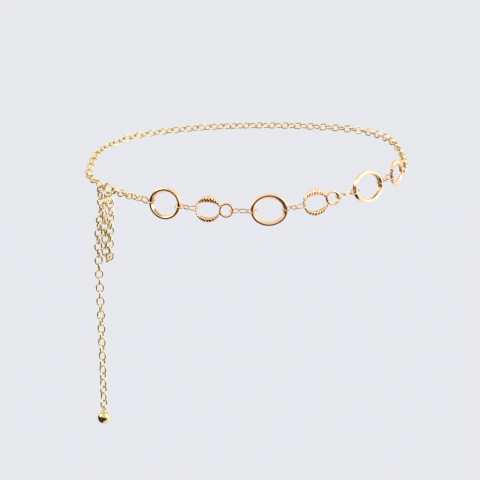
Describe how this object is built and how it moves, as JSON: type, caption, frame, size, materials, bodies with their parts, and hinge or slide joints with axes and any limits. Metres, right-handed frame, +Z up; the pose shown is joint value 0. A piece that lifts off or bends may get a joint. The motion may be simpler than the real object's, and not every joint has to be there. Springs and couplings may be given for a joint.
{
  "type": "waist chain",
  "caption": "Waist chain of smooth and textured rings joined by fine links, closed by a hook, with a folded loop of chain and a long end with a ball drop.",
  "frame": {"origin": "middle of the loop round the waist, halfway between the heights of its front and its back", "axes": "+Z up, -Y the way the wearer faces, +X to the wearer's left, which is the viewer's right"},
  "size_m": [0.2845, 0.1916, 0.2622],
  "materials": {
    "smooth_ring": "polished rose gold plating",
    "textured_ring": "bright hammered rose gold plating",
    "connector": "polished rose gold plating",
    "chain": "polished pale gold plating",
    "hook": "polished pale gold plating",
    "ball": "polished pale gold plating"
  },
  "bodies": {
    "root": {"ring_left": "smooth_ring", "ring_middle": "smooth_ring", "ring_right": "smooth_ring", "twin_ring_left": "textured_ring", "twin_ring_middle": "textured_ring", "twin_ring_right": "textured_ring", "connector_1_link_1": "connector", "connector_1_link_2": "connector", "connector_1_link_3": "connector", "connector_2_link_1": "connector", "connector_2_link_2": "connector", "connector_2_link_3": "connector", "connector_3_link_1": "connector", "connector_3_link_2": "connector", "connector_3_link_3": "connector", "connector_4_link_1": "connector", "connector_4_link_2": "connector", "connector_4_link_3": "connector", "connector_5_link_1": "connector", "connector_5_link_2": "connector", "connector_5_link_3": "connector", "side_chain": "chain", "back_chain": "chain", "loop_chain": "chain", "tail_chain": "chain", "hook_clasp": "hook", "ball_drop": "ball"}
  },
  "joints": []
}
